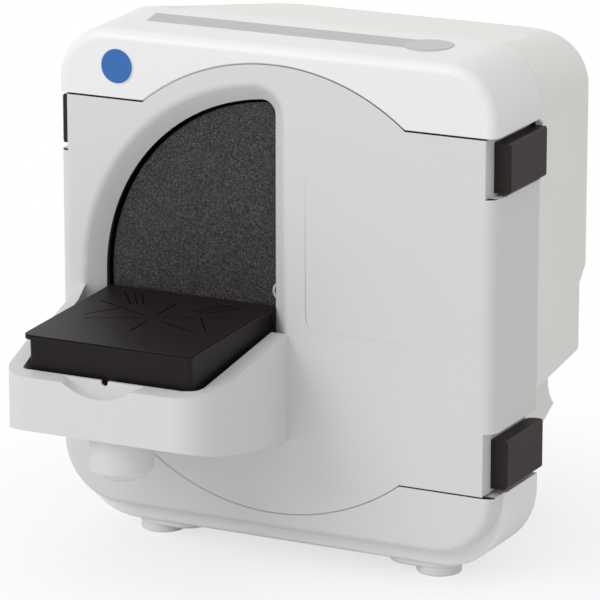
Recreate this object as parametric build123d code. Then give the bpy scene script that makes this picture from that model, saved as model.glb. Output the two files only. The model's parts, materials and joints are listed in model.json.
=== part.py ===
from build123d import *
import os
from math import atan, cos, degrees, radians, sin

os.makedirs("parts", exist_ok=True)

# Millimetres. X runs to the right seen from the front, Y to the back and Z up.
# The origin lies on the standing surface, under the middle of the bounding box.

# The case, seen from the front
CASE_WIDTH = 305.0
CASE_DEPTH = 66.0
FRONT = -67.5
UPPER_SEAM = 292.0
LOWER_SEAM = 65.0
SEAM_RADIUS = 145.0
SEAM_HEIGHT = 179.5
SEAM_GAP = 1.0
CAP_FRONT_TOP = 336.0
CAP_BACK_TOP = 338.5
SHOULDER_RADIUS = 36.0
WALL = 5.0

# The door and its window
DOOR_PLATE = 10.0
DOOR_WALL = 8.5
DOOR_EDGE_RADIUS = 9.0
SEAM_BEVEL = 0.75
CHAMBER_SWEEP_RADIUS = 138.0
WINDOW_RADIUS = 123.6
WINDOW_RIGHT = -2.3
WINDOW_CORNER = 9.0
WINDOW_SLOPES = [(10.0, 47.7), (7.37, 58.3), (2.56, 79.4)]
WINDOW_SILL = 91.0
NOTCH_DEPTH = 7.0
NOTCH_LOW = (64.0, 106.0)
NOTCH_HIGH = (254.5, 293.0)

# The side plates, which are hinges on the right and latches on the left
PLATE_LOW = (68.0, 99.5)
PLATE_HIGH = (256.5, 288.0)
PLATE_START = 12.5
PLATE_END = 68.5
PLATE_STAND = 4.0
HINGE_X = 150.5
HINGE_BACK = 63.5
KNUCKLE_RADIUS = 3.4
KNUCKLE_HALF = 6.9
PIN_RADIUS = 1.8
RUNNING_GAP = 0.05

# The shaft line
AXIS_HEIGHT = 176.5
DISC_RADIUS = 121.0
DISC_GAP = 4.0
DISC_THICKNESS = 4.0
SHAFT_RADIUS = 8.0
MOTOR_END = 105.0
CHAMBER_RADIUS = 131.0
CHAMBER_WALL = 4.0

# The table and the tray
TABLE_LEFT = -120.5
TABLE_RIGHT = -2.5
TABLE_FRONT = -104.0
TABLE_BACK = 9.0
TABLE_BACK_TOP = 168.0
TABLE_FRONT_TOP = 162.9
TABLE_SKIRT = 27.0
TABLE_MIDDLE = -61.5
TABLE_LIP = 3.0
TABLE_PLATE = 4.0
TABLE_OVERHANG = 3.0
STAR_Y = -53.0
SIDE_FAN = (24.5, 17.5)
DOT_ARC = 42.5
GROOVE_WIDTH = 1.1
GROOVE_DEPTH = 0.7
TABLE_PIVOT_Y = -8.0
TABLE_PIVOT_Z = 145.0
TABLE_PIN = 2.5
TABLE_PIN_ENDS = (-130.0, 1.2)
TRAY_REACH = 115.5
TRAY_RIGHT = 11.3
TRAY_LEFT_FRONT = -131.0
TRAY_LEFT_BACK = -140.0
TRAY_RIM = 11.7
TRAY_CORNER = 22.0
SCALLOP_LOW = 131.3
SCALLOP_RADIUS = 40.0
SCALLOP_SHOULDER = 27.0
SCALLOP_WALL = 1.6
SCREW_X = -61.5
SCREW_Y = -84.5
BOSS_RADIUS = 20.2
BOSS_BOTTOM = 76.5
KNOB_RADIUS = 11.5

# The base, the rear and the feet
BASE_BOTTOM = 10.0
PANEL_BOTTOM = 24.0
PANEL_DEPTH = 17.5
PANEL_CORNER = 40.0
BASE_CORNER = 45.0
BASE_HALF = 153.5
HOOD_BACK = 170.5
HOOD_TAPER = 0.188
HOOD_CORNER = 55.0
HOOD_TOP_SLOPE = 0.1506
HOOD_STEP = 5.0
HOOD_STEP_HIGH = 165.0
HOOD_STEP_LOW = 152.0
VALLEY_DEPTH = 3.0
VALLEY_LENGTH = 92.0
VALLEY_HALF = 115.0
HOOD_FLOOR = 119.0
HOOD_FLOOR_SLOPE = 0.084
BULKHEAD = 6.0
FOOT_RADIUS = 14.5
FRONT_FOOT = (99.0, -29.0)
BACK_FOOT = (52.0, 120.0)
REAR_HALF = 100.0
PEDESTAL_HALF = 72.0

# The power button and the fittings inside and at the back, with places as X and Z
BUTTON_PLACE = (88.0, FRONT + 41.0)
BUTTON_RADIUS = 15.7
BUTTON_FLANGE = 5.8
SPRING_WIRE = 0.6
SWITCH_TOP = 317.0
MAINS_PLACE = (-52.0, 130.0)
WATER_PLACE = (52.0, 130.0)
INLET_RADIUS = 13.2
INLET_END = 183.0
VALVE_Y = HOOD_BACK - 29
TUBE_RADIUS = 2.5
TUBE_BORE = 1.6
SPRAY_RADIUS = 124.3
SPRAY_ANGLE = 62.0
CAPACITOR_PLACE = (-48.0, 278.0)
DRAIN_HEIGHT = 30.0
DRAIN_RADIUS = 14.0
DRAIN_BORE = 11.5
DRAIN_Y = -24.0
DRAIN_JOIN = -6.0
SPIGOT_RADIUS = 16.0

# Fasteners
SCREW_RADIUS = 2.6
TRAY_BOLTS = [(-128, 100), (-95, 84), (-25, 84), (6, 100)]
BRACKET_X = (112.0, 126.0)

HALF = CASE_WIDTH / 2
JOINT = FRONT + CASE_DEPTH
DOOR_BACK = JOINT - SEAM_GAP
DOOR_TOP = UPPER_SEAM - SEAM_GAP / 2
DOOR_FLOOR = LOWER_SEAM + SEAM_GAP / 2
HINGE_Y = FRONT + HINGE_BACK
BULKHEAD_BACK = JOINT + BULKHEAD
TABLE_SLOPE = (TABLE_BACK_TOP - TABLE_FRONT_TOP) / (TABLE_BACK - TABLE_FRONT)
TABLE_TILT = degrees(atan(TABLE_SLOPE))
PARTS = {}


def part(function):
    """Keep the shape that a function returns under the function's name."""
    PARTS[function.__name__] = function
    return function


def block(x0, x1, y0, y1, z0, z1):
    """A box between two corners."""
    return Pos((x0 + x1) / 2, (y0 + y1) / 2, (z0 + z1) / 2) * Box(x1 - x0, y1 - y0, z1 - z0)


def rod_x(y, z, x0, x1, radius):
    """A cylinder along X."""
    return Pos((x0 + x1) / 2, y, z) * Rot(0, 90, 0) * Cylinder(radius, x1 - x0)


def rod_y(x, z, y0, y1, radius):
    """A cylinder along Y."""
    return Pos(x, (y0 + y1) / 2, z) * Rot(-90, 0, 0) * Cylinder(radius, y1 - y0)


def rod_z(x, y, z0, z1, radius):
    """A cylinder along Z."""
    return Pos(x, y, (z0 + z1) / 2) * Cylinder(radius, z1 - z0)


def tube_y(x, z, y0, y1, outer, inner):
    """A tube along Y."""
    return rod_y(x, z, y0, y1, outer) - rod_y(x, z, y0 - 1, y1 + 1, inner)


def cone_y(x, z, y0, y1, radius0, radius1):
    """A cone along Y, from one radius at y0 to another at y1."""
    return Pos(x, (y0 + y1) / 2, z) * Rot(-90, 0, 0) * Cone(radius0, radius1, y1 - y0)


def front_plane(y):
    """A sketch plane seen from the front: its x is X, its y is Z and it faces -Y."""
    return Plane(origin=(0, y, 0), x_dir=(1, 0, 0), z_dir=(0, -1, 0))


def side_plane(x):
    """A sketch plane seen from the right: its x is Y, its y is Z and it faces +X."""
    return Plane(origin=(x, 0, 0), x_dir=(0, 1, 0), z_dir=(1, 0, 0))


def prism_y(sketch, y0, y1):
    """A front view sketch made solid from y0 to y1."""
    return extrude(front_plane(y1) * sketch, amount=y1 - y0)


def prism_x(points, x0, x1):
    """A side view outline made solid from x0 to x1."""
    face = make_face(Polyline(*points, close=True))
    return extrude(side_plane(x0) * face, amount=x1 - x0)


def prism_z(face, z0, z1):
    """A plan view face made solid from z0 to z1."""
    return extrude(Pos(0, 0, z0) * face, amount=z1 - z0)


def both_sides(shape):
    """The shape and its mirror image on the other side of the case."""
    return shape + mirror(shape, about=Plane.YZ)


def ring_points(count, radius, start=0.0):
    """Points on a circle round the shaft, as X and Z."""
    angles = [radians(start + 360.0 * i / count) for i in range(count)]
    return [(radius * cos(a), AXIS_HEIGHT + radius * sin(a)) for a in angles]


def mid(span):
    """The middle of a span."""
    return (span[0] + span[1]) / 2


def bracket_bolts():
    """The screws of the four hinge brackets, as X and Z."""
    places = []
    for span in (PLATE_LOW, PLATE_HIGH):
        for x in BRACKET_X:
            places += [(x, mid(span)), (-x, mid(span))]
    return places


CHAMBER_BOLTS = ring_points(6, 95, 30)
MOTOR_BOLTS = ring_points(4, 52, 45)
BRACKET_BOLTS = bracket_bolts()
SPRAY_PLACE = ring_points(1, SPRAY_RADIUS, SPRAY_ANGLE)[0]


# Door

def seam_cone(gap):
    """The bevelled round edge that the door shares with the cap and the lower panel."""
    radius = SEAM_RADIUS + gap
    return cone_y(0, SEAM_HEIGHT, FRONT, FRONT + DOOR_PLATE, radius, radius - DOOR_PLATE * SEAM_BEVEL)


def window_face():
    """The window's outline at the back of the door plate."""
    arch = Pos(0, AXIS_HEIGHT) * Circle(WINDOW_RADIUS)
    legs = Pos(0, AXIS_HEIGHT / 2) * Rectangle(2 * WINDOW_RADIUS, AXIS_HEIGHT)
    left = Pos(WINDOW_RIGHT - 100, AXIS_HEIGHT) * Rectangle(200, 400)
    face = (arch + legs) & left
    corner = face.vertices().sort_by(Axis.Y)[-1]
    return fillet(corner, WINDOW_CORNER)


def window_cutter():
    """The window, which widens towards the front in three slopes that make a bevel and its soft edge."""
    cutter = prism_y(window_face(), FRONT + DOOR_PLATE - 0.5, FRONT + DOOR_PLATE + 5)
    for depth, slope in WINDOW_SLOPES:
        cutter += extrude(front_plane(FRONT + depth) * window_face(), amount=depth + 0.3, taper=-slope)
    return cutter & block(-HALF, HALF, FRONT - 5, JOINT, WINDOW_SILL, 330)


def label_recess():
    """A shallow slanting recess on the right of the door, deepest at its lower left."""
    pad = block(0, 118, -5, 1, 0, 108)
    corner = [e for e in pad.edges().filter_by(Axis.Y) if e.center().X < 1 and e.center().Z < 1]
    return Pos(23, FRONT, 157) * Rot(0.53, 0, -0.5) * fillet(corner, 9)


def web_slots():
    """Slots in the door's notch walls that let the hinge webs pass."""
    slots = Part()
    reach = KNUCKLE_HALF + 0.7
    for span in (PLATE_LOW, PLATE_HIGH):
        z = mid(span)
        slots += block(HALF - 17, HALF - 6, FRONT + 59, JOINT, z - reach, z + reach)
    return both_sides(slots)


@part
def front_door():
    shell = block(-HALF, HALF, FRONT, DOOR_BACK, DOOR_FLOOR, DOOR_TOP)
    shell = fillet(shell.edges().filter_by(Axis.Z).group_by(Axis.Y)[0], DOOR_EDGE_RADIUS)
    shell += seam_cone(-SEAM_GAP / 2)
    inner = HALF - DOOR_WALL
    back = FRONT + DOOR_PLATE
    shell -= block(-inner, inner, back, JOINT, NOTCH_LOW[1] + DOOR_WALL, NOTCH_HIGH[0] - DOOR_WALL)
    narrow = inner - NOTCH_DEPTH
    shell -= block(-narrow, narrow, back, JOINT, DOOR_FLOOR + DOOR_WALL, DOOR_TOP - DOOR_WALL)
    shell -= rod_y(0, AXIS_HEIGHT, back, JOINT, CHAMBER_SWEEP_RADIUS)
    for span in (NOTCH_LOW, NOTCH_HIGH):
        shell -= both_sides(block(HALF - NOTCH_DEPTH, HALF + 1, FRONT - 1, JOINT, *span))
    shell -= web_slots()
    shell -= label_recess()
    for x, z in TRAY_BOLTS:
        shell -= rod_y(x, z, FRONT - 1, back + 1, 2.4) + rod_y(x, z, back - 3.2, back + 1, 4.4)
    return shell - window_cutter()


@part
def door_seal():
    return tube_y(0, AXIS_HEIGHT, FRONT + DOOR_PLATE, FRONT + DOOR_PLATE + 4, CHAMBER_RADIUS, 124.2)


# Splash tray

def tray_plan(inset):
    """The tray seen from above, drawn in by an inset."""
    front = FRONT - TRAY_REACH + inset
    right = TRAY_RIGHT - inset
    left_back = TRAY_LEFT_BACK + min(inset, 4.0)
    left_front = TRAY_LEFT_FRONT + inset * 0.85
    back = FRONT + (20 if inset else 0)
    corners = [(left_back, back), (left_front, front), (right, front), (right, back)]
    face = make_face(Polyline(*corners, close=True))
    left_corner, right_corner = face.vertices().group_by(Axis.Y)[0].sort_by(Axis.X)
    face = fillet(right_corner, TRAY_CORNER - 1.1 * inset)
    left_corner = face.vertices().sort_by_distance((left_front, front))[0]
    return fillet(left_corner, TRAY_CORNER - 1.5 * inset)


def tray_floor(lift):
    """The side view of everything above the tray's curved underside."""
    start = (FRONT, 84 + lift)
    middle = (FRONT - 67, 93.4 + lift)
    end = (FRONT - 118, 105.5 + lift)
    curve = ThreePointArc(start, middle, end)
    rest = Polyline(end, (FRONT - 118, 200), (FRONT + 25, 200), (FRONT + 25, 84 + lift), start)
    return make_face(curve + rest)


def tray_top(profile, x0, x1):
    """What is cut off above a side view line of the tray's rim."""
    points = [(FRONT + y, z) for y, z in profile]
    points += [(FRONT - 130, 220), (FRONT + 30, 220)]
    return prism_x(points, x0, x1)


def finger_scallop():
    """The scallop in the tray's front edge, with soft shoulders and a thin wall left behind it."""
    rim = 141.5
    dip = Pos(TABLE_MIDDLE, SCALLOP_LOW + SCALLOP_RADIUS) * Circle(SCALLOP_RADIUS)
    dip += Pos(TABLE_MIDDLE, rim + 30) * Rectangle(140, 60)
    corners = [v for v in dip.vertices() if v.Y < rim + 0.1 and abs(v.X - TABLE_MIDDLE) < SCALLOP_RADIUS]
    dip = fillet(corners, SCALLOP_SHOULDER)
    back = FRONT - TRAY_REACH + TRAY_RIM - SCALLOP_WALL
    return prism_y(dip & Pos(TABLE_MIDDLE, rim) * Rectangle(100, 60), FRONT - 130, back)


def rim_notch():
    """A small notch in the wall behind the scallop, in line with the table's middle."""
    notch = make_face(Polyline((-3, 143), (3, 143), (2.2, 138.4), (0, 137.2), (-2.2, 138.4), close=True))
    back = FRONT - TRAY_REACH + TRAY_RIM
    return prism_y(Pos(TABLE_MIDDLE, 0) * notch, back - SCALLOP_WALL - 1, back + 1)


@part
def splash_tray():
    lift = 6.0
    outer = prism_z(tray_plan(0), 60, 190) & extrude(side_plane(-160) * tray_floor(0), amount=200)
    inner = prism_z(tray_plan(TRAY_RIM), 60, 200) & extrude(side_plane(-160) * tray_floor(lift), amount=200)
    tray = outer - inner
    front_edge = [(-103, 140.9), (-116, 139.2), (-130, 137.5)]
    left_rim = [(30, 172), (0, 168.5), (-12, 161.5), (-33, 155.8), (-75, 149.5), (-97, 142.3)]
    right_rim = [(30, 157.6), (0, 153.3), (-90, 140.3)]
    tray -= tray_top(left_rim + front_edge, -200, TABLE_MIDDLE)
    tray -= tray_top(right_rim + front_edge, TABLE_MIDDLE, 50)
    tray -= finger_scallop() + rim_notch()
    boss_y = FRONT + SCREW_Y
    boss = rod_z(SCREW_X, boss_y, BOSS_BOTTOM, 103, BOSS_RADIUS)
    boss = chamfer(boss.edges().sort_by(Axis.Z)[0], 3.5)
    tray += boss
    tray += table_lugs()
    tray -= rod_x(FRONT + TABLE_PIVOT_Y, TABLE_PIVOT_Z, *TABLE_PIN_ENDS, TABLE_PIN)
    tray -= rod_z(SCREW_X, boss_y, 60, 125, 6.3)
    for x, z in TRAY_BOLTS:
        tray -= rod_y(x, z, FRONT - 6, FRONT + 1, 2.2)
    return tray


def table_lugs():
    """The two lugs in the tray that hold the table's pivot pins."""
    y = FRONT + TABLE_PIVOT_Y
    z = TABLE_PIVOT_Z
    edge = TABLE_LEFT - 0.8
    left = block(-138, edge, y - 5, y + 5, 90, z) + rod_x(y, z, -138, edge, 5)
    edge = TABLE_RIGHT + 0.8
    right = block(edge, 3, y - 4, y + 4, 90, z) + rod_x(y, z, edge, 3, 4)
    return left + right


@part
def tray_screws():
    screws = Part()
    for x, z in TRAY_BOLTS:
        back = FRONT + DOOR_PLATE
        head = rod_y(x, z, back - 3.2, back - 0.2, 4.2)
        head -= block(x - 0.5, x + 0.5, back - 1.6, back + 1, z - 5, z + 5)
        screws += head + rod_y(x, z, FRONT - 5, back - 3.2, 2.2)
    return screws


# Table

def table_frame(shape):
    """Set a shape drawn level, with its back edge at the origin, into the table's slope."""
    return Pos(0, FRONT + TABLE_BACK, TABLE_BACK_TOP) * Rot(TABLE_TILT, 0, 0) * shape


def groove(x, y, angle, start, end):
    """An engraved line that points away from a centre, between two distances from it."""
    line = Pos((start + end) / 2, 0, 0) * Box(end - start, GROOVE_WIDTH, 2 * GROOVE_DEPTH)
    return Pos(x, y, 0) * Rot(0, 0, angle) * line


def half_star():
    """The engraved lines right of the table's middle, drawn about the star's centre."""
    lines = groove(0, 0, -22.5, 7, 42) + groove(0, 0, 22.5, 7, 28) + groove(0, 0, 22.5, 37, 52)
    x, y = SIDE_FAN
    lines += groove(x, y, -56, 5, 33) + groove(x, y, 54, 3, 31)
    for shift in (-3.5, -8.5):
        lines += groove(x + shift, y + 2, 58, 2, 26)
    for i in range(1, 6):
        angle = radians(90 - 6 * i)
        lines += Pos(DOT_ARC * cos(angle), DOT_ARC * sin(angle), 0) * Cylinder(0.6, 2 * GROOVE_DEPTH)
    return lines


def angle_grooves():
    """The engraved angle lines: a star in the middle, a small fan on each side and an arc of dots."""
    right = half_star()
    middle = groove(0, 0, 90, 7, 31) + groove(0, 0, -90, 7, 28)
    return Pos(TABLE_MIDDLE, STAR_Y, 0) * (right + mirror(right, about=Plane.YZ) + middle)


@part
def trimming_table():
    depth = (TABLE_BACK - TABLE_FRONT) / cos(radians(TABLE_TILT))
    top = block(TABLE_LEFT, TABLE_RIGHT, -depth, 0, -TABLE_LIP, 0)
    top = fillet(top.edges().filter_by(Axis.Z).group_by(Axis.Y)[0], 6)
    top = fillet(top.edges().group_by(Axis.Z)[-1], 0.9)
    left = TABLE_LEFT + TABLE_OVERHANG
    right = TABLE_RIGHT - 1.5
    front = -depth + TABLE_OVERHANG
    body = block(left, right, front, -4, -TABLE_SKIRT, -TABLE_LIP)
    body = fillet(body.edges().filter_by(Axis.Z).group_by(Axis.Y)[0], 3)
    body -= block(left + 3, right - 3, front + 3, -8, -TABLE_SKIRT - 1, -TABLE_PLATE)
    table = table_frame(top + body - angle_grooves())
    y = FRONT + TABLE_PIVOT_Y
    z = TABLE_PIVOT_Z
    for x0, x1 in ((left + 1, TABLE_LEFT + 14), (TABLE_RIGHT - 14, right - 1)):
        table += rod_x(y, z, x0, x1, 5) + block(x0, x1, y - 5, y + 5, z, TABLE_BACK_TOP - 5)
    return table - rod_x(y, z, -200, 50, TABLE_PIN + RUNNING_GAP)


@part
def table_pins():
    y = FRONT + TABLE_PIVOT_Y
    z = TABLE_PIVOT_Z
    left, right = TABLE_PIN_ENDS
    return rod_x(y, z, left, TABLE_LEFT + 13, TABLE_PIN) + rod_x(y, z, TABLE_RIGHT - 13, right, TABLE_PIN)


@part
def height_screw():
    y = FRONT + SCREW_Y
    top = table_underside(SCREW_Y) - 0.35
    rod = rod_z(SCREW_X, y, BOSS_BOTTOM + 8, top - 4, 4.0) + Pos(SCREW_X, y, top - 4) * Sphere(4.0)
    for i in range(8):
        z = BOSS_BOTTOM + 12 + 3.5 * i
        rod -= Pos(SCREW_X, y, z) * Torus(4.3, 0.6)
    return rod


@part
def height_knob():
    y = FRONT + SCREW_Y
    knob = rod_z(SCREW_X, y, BOSS_BOTTOM - 3.2, BOSS_BOTTOM - 0.3, KNOB_RADIUS)
    knob = chamfer(knob.edges().sort_by(Axis.Z)[0], 0.8)
    knob += rod_z(SCREW_X, y, BOSS_BOTTOM - 0.4, BOSS_BOTTOM + 24, 6.25)
    knob -= rod_z(SCREW_X, y, BOSS_BOTTOM - 0.2, BOSS_BOTTOM + 30, 4.05)
    return knob - block(SCREW_X - 9, SCREW_X + 9, y - 1.2, y + 1.2, BOSS_BOTTOM - 4, BOSS_BOTTOM - 1.6)


def table_underside(y):
    """The height of the table plate's underside at a distance in front of the door."""
    return TABLE_BACK_TOP + TABLE_SLOPE * (y - TABLE_BACK) - TABLE_PLATE / cos(radians(TABLE_TILT))


# Top cap

def cap_solid(inset):
    """The cap as a solid block, drawn in by an inset."""
    half = HALF - inset
    low = UPPER_SEAM + SEAM_GAP / 2 - (5 if inset else 0)
    high = CAP_BACK_TOP + 5
    face = Pos(0, (low + high) / 2) * Rectangle(2 * half, high - low)
    solid = prism_y(face, FRONT + inset, JOINT + (1 if inset else 0))
    slope = (CAP_BACK_TOP - CAP_FRONT_TOP) / CASE_DEPTH
    back = JOINT + 10
    back_top = CAP_BACK_TOP - inset + 10 * slope
    front_top = CAP_FRONT_TOP - inset - 5 * slope
    profile = [(FRONT - 5, low - 1), (FRONT - 5, front_top), (back, back_top), (back, low - 1)]
    solid &= prism_x(profile, -HALF - 5, HALF + 5)
    top = solid.faces().sort_by(Axis.Z)[-1]
    sides = [e for e in top.edges() if abs(e.center().X) > half - 1]
    solid = fillet(sides, SHOULDER_RADIUS - inset)
    front = solid.faces().sort_by(Axis.Y)[0]
    rim = [e for e in front.edges() if e.center().Z > low + 5]
    return fillet(rim, 7 if not inset else 3)


def cap_top(y):
    """The height of the cap's top at Y."""
    return CAP_FRONT_TOP + (CAP_BACK_TOP - CAP_FRONT_TOP) * (y - FRONT) / CASE_DEPTH


def strip_face():
    """The inlay strip from above, slanted at its left end and hollow round the button."""
    x, y = BUTTON_PLACE
    y0 = FRONT + 30.0
    y1 = FRONT + 50.5
    outline = make_face(Polyline((-104, y0), (x, y0), (x, y1), (-108, y1), close=True))
    return outline - Pos(x, y) * Circle(BUTTON_RADIUS + RUNNING_GAP)


def strip_solid(depth):
    """The inlay strip, as thick as the given depth and following the cap's slope."""
    slope = (CAP_BACK_TOP - CAP_FRONT_TOP) / CASE_DEPTH
    y0 = FRONT + 20
    y1 = FRONT + 60
    z0 = cap_top(y0)
    z1 = cap_top(y1)
    slab = prism_x([(y0, z0 - depth), (y1, z1 - depth), (y1, z1), (y0, z0)], -120, 100)
    return slab & prism_z(strip_face(), 320, 345)


@part
def top_cap():
    cap = cap_solid(0) - cap_solid(WALL)
    cap -= seam_cone(SEAM_GAP / 2)
    cap -= strip_solid(1.0)
    x, y = BUTTON_PLACE
    cap -= rod_z(x, y, 320, 345, BUTTON_RADIUS + RUNNING_GAP)
    posts = Part()
    for dx in (-22, 22):
        posts += rod_z(x + dx, y, 312, CAP_FRONT_TOP - 1, 3.5)
    return cap + posts


@part
def label_strip():
    return strip_solid(1.0)


@part
def sign_disc():
    return rod_y(-109, 313, FRONT - 0.6, FRONT, 11.5)


@part
def power_button():
    x, y = BUTTON_PLACE
    top = cap_top(y)
    body = rod_z(x, y, top - 8, top + 0.4, BUTTON_RADIUS)
    body = fillet(body.edges().sort_by(Axis.Z)[-1], 0.8)
    return body + rod_z(x, y, top - BUTTON_FLANGE - 2.5, top - BUTTON_FLANGE, BUTTON_RADIUS + 2.3)


@part
def button_spring():
    x, y = BUTTON_PLACE
    top = cap_top(y)
    height = top - BUTTON_FLANGE - 2.5 - SWITCH_TOP - 2 * SPRING_WIRE
    path = Helix(pitch=height / 3, height=height, radius=6)
    wire = sweep(Plane(origin=path @ 0, z_dir=path % 0) * Circle(SPRING_WIRE), path=path, is_frenet=True)
    return Pos(x, y, SWITCH_TOP + SPRING_WIRE) * wire


@part
def switch_block():
    x, y = BUTTON_PLACE
    body = block(x - 27, x + 27, y - 9, y + 9, SWITCH_TOP - 5, SWITCH_TOP)
    body -= rod_z(x - 22, y, 300, 330, 3.6)
    body -= rod_z(x + 22, y, 300, 330, 3.6)
    body += block(x - 14, x + 14, y - 12, y + 12, SWITCH_TOP - 20, SWITCH_TOP - 4)
    for dx in (-8, 0, 8):
        body += block(x + dx - 0.5, x + dx + 0.5, y - 3, y + 3, SWITCH_TOP - 24, SWITCH_TOP - 19)
    return body


# Rear hood

def hood_plan(inset, draw):
    """The hood from above, drawn in by an inset all round and by a further amount at its back."""
    start = JOINT - (1 if inset else 0)
    half = HALF - inset
    back = HOOD_BACK - inset
    half_back = half - HOOD_TAPER * (back - start) - 0.8 * draw
    corners = [(-half, start), (half, start), (half_back, back - draw), (-half_back, back - draw)]
    face = make_face(Polyline(*corners, close=True))
    return fillet(face.vertices().group_by(Axis.Y)[-1], HOOD_CORNER - inset - draw)


def hood_solid(inset):
    """The hood as a solid: tapered in plan, stepped in low down at its back, sloping at its top."""
    start = JOINT - (1 if inset else 0)
    back = HOOD_BACK - inset
    top = CAP_BACK_TOP - inset
    wide = hood_plan(inset, 0)
    narrow = hood_plan(inset, HOOD_STEP)
    solid = prism_z(wide, HOOD_STEP_HIGH, top + 5) + prism_z(narrow, 80, HOOD_STEP_LOW)
    solid += loft([Pos(0, 0, HOOD_STEP_LOW) * narrow, Pos(0, 0, HOOD_STEP_HIGH) * wide])
    profile = [
        (start, hood_floor(start) + inset),
        (start, top - HOOD_TOP_SLOPE * (start - JOINT)),
        (back, top - HOOD_TOP_SLOPE * (back - JOINT)),
        (back, hood_floor(back) + inset),
    ]
    solid &= prism_x(profile, -HALF - 5, HALF + 5)
    crown = solid.faces().sort_by(Axis.Z)[-1]
    edges = [e for e in crown.edges() if e.center().Y > start + 1]
    return fillet(edges, SHOULDER_RADIUS - inset)


def top_valley():
    """The shallow sunken field in the hood's top, deepest at the cap and running out towards the back."""
    drop = (HOOD_TOP_SLOPE * VALLEY_LENGTH - VALLEY_DEPTH) / VALLEY_LENGTH
    rise = VALLEY_DEPTH + 1.5
    corners = [(-VALLEY_HALF, 0), (VALLEY_HALF, 0), (VALLEY_HALF + 12, rise), (-VALLEY_HALF - 12, rise)]
    field = prism_y(make_face(Polyline(*corners, close=True)), -2, VALLEY_LENGTH + 5)
    return Pos(0, JOINT, CAP_BACK_TOP - VALLEY_DEPTH) * Rot(-degrees(atan(drop)), 0, 0) * field


def hood_floor(y):
    """The height of the hood's underside at Y."""
    return HOOD_FLOOR - HOOD_FLOOR_SLOPE * (y - JOINT)


def hinge_pockets():
    """Round pockets in the hood's front edge in which the side plates turn."""
    pockets = Part()
    for span in (PLATE_LOW, PLATE_HIGH):
        pockets += rod_z(HINGE_X, HINGE_Y, span[0] - 2, span[1] + 2, 8.5)
    return both_sides(pockets)


def vents(y, z0, count, spacing, length):
    """A row of level slots through the hood's rear wall."""
    slots = Part()
    for i in range(count):
        z = z0 + spacing * i
        slots += block(-length / 2, length / 2, y - 10, y + 10, z, z + spacing * 0.4)
    return slots


@part
def rear_hood():
    hood = hood_solid(0) - hood_solid(WALL)
    hood -= hinge_pockets() + top_valley()
    hood -= block(-96, 96, BULKHEAD_BACK, 133, 90, 128)
    hood -= block(-HALF + 10.5, HALF - 10.5, JOINT - 1, BULKHEAD_BACK + 0.01, 90, 128)
    hood -= vents(HOOD_BACK, 190, 9, 9, 110)
    back = HOOD_BACK - HOOD_STEP
    x, z = MAINS_PLACE
    hood -= block(x - 14, x + 14, back - 8, back + 2, z - 10, z + 10)
    hood -= rod_y(*WATER_PLACE, back - 8, back + 2, 9)
    return hood


# Base

def panel_solid(inset):
    """The lower front panel's block, with its round lower corners."""
    half = HALF - 0.5 - inset
    low = PANEL_BOTTOM + inset
    high = LOWER_SEAM - SEAM_GAP / 2
    face = Pos(0, (low + high + 40) / 2) * Rectangle(2 * half, high + 40 - low)
    face = fillet(face.vertices().group_by(Axis.Y)[0], PANEL_CORNER - inset)
    solid = prism_y(face, FRONT + inset, FRONT + PANEL_DEPTH)
    return solid & block(-HALF, HALF, FRONT - 1, JOINT, 0, high)


@part
def lower_front_panel():
    panel = panel_solid(0)
    front = panel.faces().sort_by(Axis.Y)[0]
    soft = [e for e in front.edges() if e.center().Z < LOWER_SEAM - 2]
    panel = fillet(soft, 5)
    panel -= panel_solid(WALL) & block(-HALF, HALF, FRONT, JOINT, 0, LOWER_SEAM - 5)
    panel -= seam_cone(SEAM_GAP / 2)
    return panel - rod_y(0, AXIS_HEIGHT, FRONT + DOOR_PLATE, JOINT, CHAMBER_SWEEP_RADIUS)


def base_outline(inset, half, low, high, corner):
    """The base frame from the front: a box with round lower corners."""
    face = Pos(0, (low + high) / 2) * Rectangle(2 * (half - inset), high - low)
    return fillet(face.vertices().group_by(Axis.Y)[0], corner - inset)


@part
def base_frame():
    top = LOWER_SEAM - SEAM_GAP / 2
    start = FRONT + PANEL_DEPTH
    outer = prism_y(base_outline(0, BASE_HALF, BASE_BOTTOM, top, BASE_CORNER), start, JOINT)
    front = outer.faces().sort_by(Axis.Y)[0]
    soft = [e for e in front.edges() if e.center().Z < top - 1]
    outer = fillet(soft, 3.5)
    hollow = base_outline(WALL, BASE_HALF, BASE_BOTTOM + WALL, top + 20, BASE_CORNER)
    inner = prism_y(hollow, start + WALL, JOINT + 1)
    frame = outer - inner
    for sign in (-1, 1):
        x, y = FRONT_FOOT
        frame += foot_boss(sign * x, y, sign)
    frame -= rod_y(0, AXIS_HEIGHT, start - 1, JOINT + 1, CHAMBER_RADIUS + 1)
    for x, y in foot_places():
        frame -= rod_z(x, y, -1, BASE_BOTTOM + WALL + 1, SCREW_RADIUS)
    return frame


def foot_boss(x, y, sign):
    """The long moulded boss above a front foot, which reaches inwards."""
    shape = Pos(x - sign * 9, y) * SlotCenterToCenter(18, 2 * FOOT_RADIUS + 3)
    boss = prism_z(shape, 5.5, BASE_BOTTOM + 1)
    return chamfer(boss.edges().group_by(Axis.Z)[0], 1.5)


def foot_places():
    """The centres of the four feet."""
    places = []
    for sign in (-1, 1):
        places.append((sign * FRONT_FOOT[0], FRONT_FOOT[1]))
        places.append((sign * BACK_FOOT[0], BACK_FOOT[1]))
    return places


@part
def feet():
    group = Part()
    for x, y in foot_places():
        top = 5.5 if y < 0 else BASE_BOTTOM
        pad = rod_z(x, y, 0, top, FOOT_RADIUS)
        pad = fillet(pad.edges().sort_by(Axis.Z)[0], 1.2)
        pad -= rod_z(x, y, -1, 2.5, 5)
        group += pad - rod_z(x, y, -1, top + 1, SCREW_RADIUS)
    return group


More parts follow.
